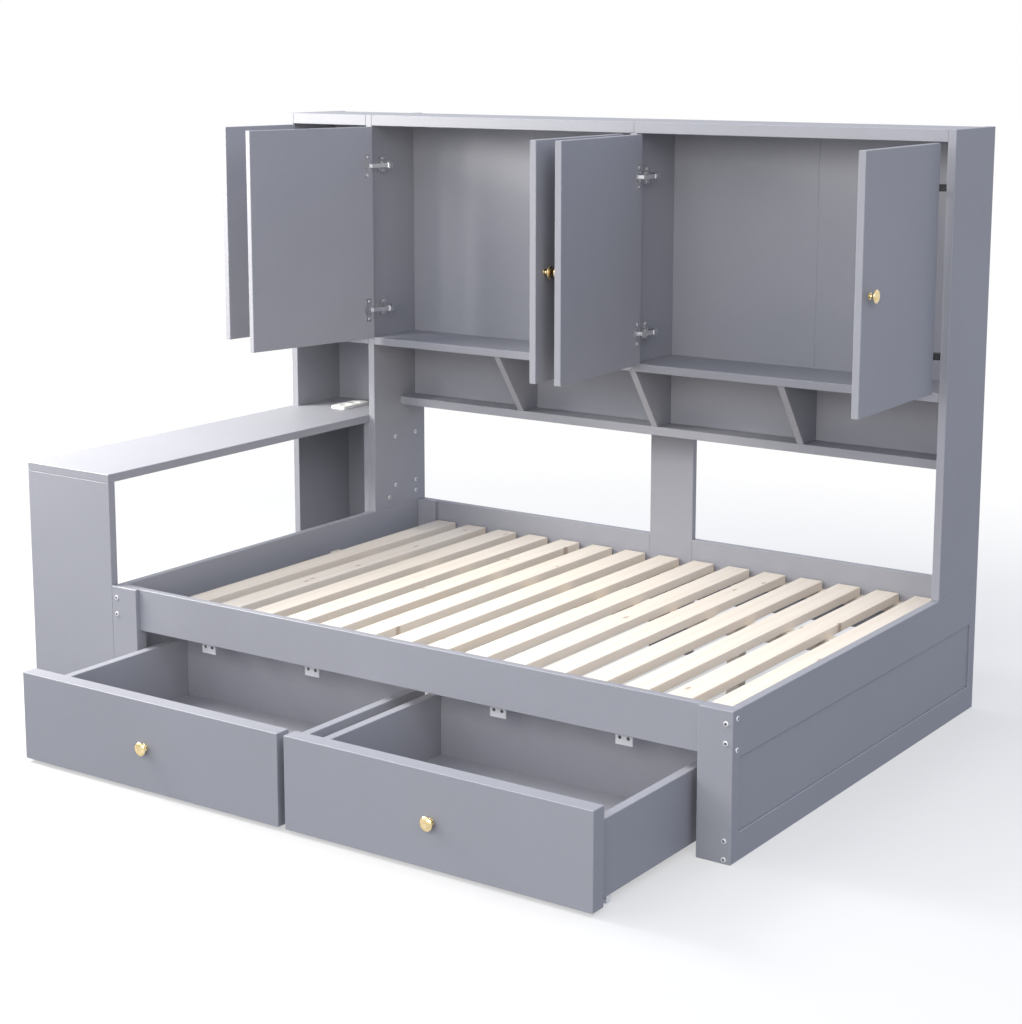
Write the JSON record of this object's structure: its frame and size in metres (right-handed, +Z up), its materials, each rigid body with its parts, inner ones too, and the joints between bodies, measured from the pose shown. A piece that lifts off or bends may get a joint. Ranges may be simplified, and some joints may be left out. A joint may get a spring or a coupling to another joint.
{
  "type": "bed with desk",
  "caption": "Full-size bed with rolling drawers, a tall headboard of door cabinets and open cubbies, and a narrow desk along its left end.",
  "frame": {"origin": "middle of the centre stile's foot, on the floor at the wall side of the bed", "axes": "+X to the right end of the bed, +Y to the wall, +Z up"},
  "size_m": [2.3198, 1.885, 1.646],
  "materials": {
    "grey_paint": "satin blue-grey paint over board",
    "pine": "bare planed pine",
    "brass": "brushed",
    "steel": "zinc plated",
    "white_plastic": "matte",
    "white_metal": "white paint"
  },
  "bodies": {
    "bed_frame": {"left_end_panel": "grey_paint", "inner_panel": "grey_paint", "cabinet_divider": "grey_paint", "right_end_panel": "grey_paint", "top_boards": "grey_paint", "cabinet_floors": "grey_paint", "back_panels": "grey_paint", "cubby_shelf": "grey_paint", "cubby_dividers": "grey_paint", "centre_stile": "grey_paint", "back_rails": "grey_paint", "corner_posts": "grey_paint", "end_rails": "grey_paint", "end_panels": "grey_paint", "front_rail": "grey_paint", "desk_top": "grey_paint", "desk_leg_panel": "grey_paint", "desk_support_panel": "grey_paint", "desk_back_board": "grey_paint", "slat_ledgers": "pine", "slats": "pine", "support_beam": "pine", "socket_unit": "white_plastic", "stop_plates": "white_metal", "hinge_arms": "steel"},
    "door_1": {"door_1_panel": "grey_paint", "door_1_knob": "brass", "door_1_hinge_cups": "steel"},
    "door_1_links": {"door_1_hinge_links": "steel"},
    "door_2": {"door_2_panel": "grey_paint", "door_2_knob": "brass", "door_2_hinge_cups": "steel"},
    "door_2_links": {"door_2_hinge_links": "steel"},
    "door_3": {"door_3_panel": "grey_paint", "door_3_knob": "brass", "door_3_hinge_cups": "steel"},
    "door_3_links": {"door_3_hinge_links": "steel"},
    "door_4": {"door_4_panel": "grey_paint", "door_4_knob": "brass", "door_4_hinge_cups": "steel"},
    "door_4_links": {"door_4_hinge_links": "steel"},
    "door_5": {"door_5_panel": "grey_paint", "door_5_knob": "brass", "door_5_hinge_cups": "steel"},
    "door_5_links": {"door_5_hinge_links": "steel"},
    "left_drawer": {"left_drawer_front": "grey_paint", "left_drawer_walls": "grey_paint", "left_drawer_bottom": "grey_paint", "left_drawer_knob": "brass", "left_drawer_castor_forks": "steel"},
    "left_drawer_front_axle": {"left_drawer_front_wheels": "white_plastic"},
    "left_drawer_rear_axle": {"left_drawer_rear_wheels": "white_plastic"},
    "right_drawer": {"right_drawer_front": "grey_paint", "right_drawer_walls": "grey_paint", "right_drawer_bottom": "grey_paint", "right_drawer_knob": "brass", "right_drawer_castor_forks": "steel"},
    "right_drawer_front_axle": {"right_drawer_front_wheels": "white_plastic"},
    "right_drawer_rear_axle": {"right_drawer_rear_wheels": "white_plastic"}
  },
  "joints": [
    {"name": "door_1_hinge", "type": "hinge", "parent": "bed_frame", "child": "door_1", "pos_m": [-1.291, -0.271, 1.2775], "axis": [0, 0, -1], "range_deg": [-96.75, 0]},
    {"name": "door_1_link_pin", "type": "hinge", "parent": "bed_frame", "child": "door_1_links", "pos_m": [-1.24, -0.229, 1.263], "axis": [0, 0, -1], "range_deg": [-96.75, 0]},
    {"name": "door_2_hinge", "type": "hinge", "parent": "bed_frame", "child": "door_2", "pos_m": [-0.97, -0.271, 1.2775], "axis": [0, 0, -1], "range_deg": [-102.25, 0]},
    {"name": "door_2_link_pin", "type": "hinge", "parent": "bed_frame", "child": "door_2_links", "pos_m": [-0.919, -0.229, 1.263], "axis": [0, 0, -1], "range_deg": [-102.25, 0]},
    {"name": "door_3_hinge", "type": "hinge", "parent": "bed_frame", "child": "door_3", "pos_m": [-0.0065, -0.271, 1.2775], "axis": [0, 0, 1], "range_deg": [-91.75, 0]},
    {"name": "door_3_link_pin", "type": "hinge", "parent": "bed_frame", "child": "door_3_links", "pos_m": [-0.0575, -0.229, 1.263], "axis": [0, 0, 1], "range_deg": [-91.75, 0]},
    {"name": "door_4_hinge", "type": "hinge", "parent": "bed_frame", "child": "door_4", "pos_m": [0.0065, -0.271, 1.2775], "axis": [0, 0, -1], "range_deg": [-86.25, 0]},
    {"name": "door_4_link_pin", "type": "hinge", "parent": "bed_frame", "child": "door_4_links", "pos_m": [0.0575, -0.229, 1.263], "axis": [0, 0, -1], "range_deg": [-86.25, 0]},
    {"name": "door_5_hinge", "type": "hinge", "parent": "bed_frame", "child": "door_5", "pos_m": [0.97, -0.271, 1.2775], "axis": [0, 0, 1], "range_deg": [-91, 0]},
    {"name": "door_5_link_pin", "type": "hinge", "parent": "bed_frame", "child": "door_5_links", "pos_m": [0.919, -0.229, 1.263], "axis": [0, 0, 1], "range_deg": [-91, 0]},
    {"name": "left_drawer_slide", "type": "slide", "parent": "bed_frame", "child": "left_drawer", "axis": [0, -1, 0], "range_m": [-0.43, 0.1]},
    {"name": "left_drawer_front_roll", "type": "hinge", "parent": "left_drawer", "child": "left_drawer_front_axle", "pos_m": [0, -1.762, 0.0095], "axis": [1, 0, 0], "range_deg": [-2594, 604]},
    {"name": "left_drawer_rear_roll", "type": "hinge", "parent": "left_drawer", "child": "left_drawer_rear_axle", "pos_m": [0, -1.309, 0.0095], "axis": [1, 0, 0], "range_deg": [-2594, 604]},
    {"name": "right_drawer_slide", "type": "slide", "parent": "bed_frame", "child": "right_drawer", "axis": [0, -1, 0], "range_m": [-0.43, 0.1]},
    {"name": "right_drawer_front_roll", "type": "hinge", "parent": "right_drawer", "child": "right_drawer_front_axle", "pos_m": [0, -1.762, 0.0095], "axis": [1, 0, 0], "range_deg": [-2594, 604]},
    {"name": "right_drawer_rear_roll", "type": "hinge", "parent": "right_drawer", "child": "right_drawer_rear_axle", "pos_m": [0, -1.309, 0.0095], "axis": [1, 0, 0], "range_deg": [-2594, 604]}
  ],
  "couplings": [
    {"joint": "door_1_link_pin", "follows": "door_1_hinge", "ratio": 1},
    {"joint": "door_2_link_pin", "follows": "door_2_hinge", "ratio": 1},
    {"joint": "door_3_link_pin", "follows": "door_3_hinge", "ratio": 1},
    {"joint": "door_4_link_pin", "follows": "door_4_hinge", "ratio": 1},
    {"joint": "door_5_link_pin", "follows": "door_5_hinge", "ratio": 1},
    {"joint": "left_drawer_front_roll", "follows": "left_drawer_slide", "rad_per_m": 105.26},
    {"joint": "left_drawer_rear_roll", "follows": "left_drawer_slide", "rad_per_m": 105.26},
    {"joint": "right_drawer_front_roll", "follows": "right_drawer_slide", "rad_per_m": 105.26},
    {"joint": "right_drawer_rear_roll", "follows": "right_drawer_slide", "rad_per_m": 105.26}
  ]
}
